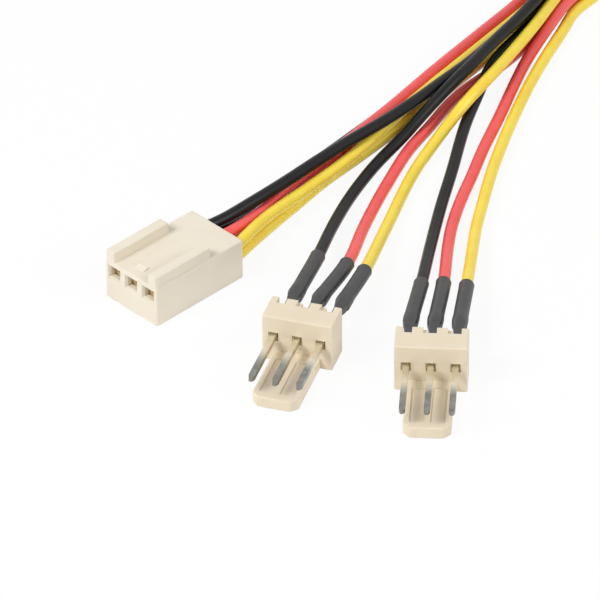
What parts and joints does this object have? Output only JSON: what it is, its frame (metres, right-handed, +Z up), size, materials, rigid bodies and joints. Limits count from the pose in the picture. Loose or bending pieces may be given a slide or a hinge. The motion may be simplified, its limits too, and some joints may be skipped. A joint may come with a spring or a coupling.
{
  "type": "fan power splitter cable",
  "caption": "Flat fan power cable: a keyed socket joined by loose round wires to two keyed pin plugs, with shrunk sleeves behind the plugs, lying in an open loop.",
  "frame": {"origin": "middle of the socket housing's underside, on the table", "axes": "+Z up from the table; plug B's pins point along -Y; the loop of wires lies towards +Y"},
  "size_m": [0.0565, 0.1358, 0.0061],
  "materials": {
    "cream_nylon": "satin, slightly translucent cream nylon",
    "tinned_brass": "tin-plated square pin",
    "contact_brass": "bare folded brass strip",
    "solder": "soldered strands, hidden in the sleeve",
    "shrink_black": "satin shrunk tube",
    "insulation_black": "glossy soft insulation",
    "insulation_red": "satin soft insulation",
    "insulation_yellow": "satin soft insulation"
  },
  "bodies": {
    "root": {"socket_housing": "cream_nylon", "socket_terminal_black": "contact_brass", "socket_terminal_red": "contact_brass", "socket_terminal_yellow": "contact_brass", "plug_a_housing": "cream_nylon", "plug_a_pin_black": "tinned_brass", "plug_a_joint_black": "solder", "plug_a_sleeve_black": "shrink_black", "wire_black_a": "insulation_black", "plug_a_pin_red": "tinned_brass", "plug_a_joint_red": "solder", "plug_a_sleeve_red": "shrink_black", "wire_red_a": "insulation_red", "plug_a_pin_yellow": "tinned_brass", "plug_a_joint_yellow": "solder", "plug_a_sleeve_yellow": "shrink_black", "wire_yellow_a": "insulation_yellow", "plug_b_housing": "cream_nylon", "plug_b_pin_black": "tinned_brass", "plug_b_joint_black": "solder", "plug_b_sleeve_black": "shrink_black", "wire_black_b": "insulation_black", "plug_b_pin_red": "tinned_brass", "plug_b_joint_red": "solder", "plug_b_sleeve_red": "shrink_black", "wire_red_b": "insulation_red", "plug_b_pin_yellow": "tinned_brass", "plug_b_joint_yellow": "solder", "plug_b_sleeve_yellow": "shrink_black", "wire_yellow_b": "insulation_yellow"}
  },
  "joints": []
}
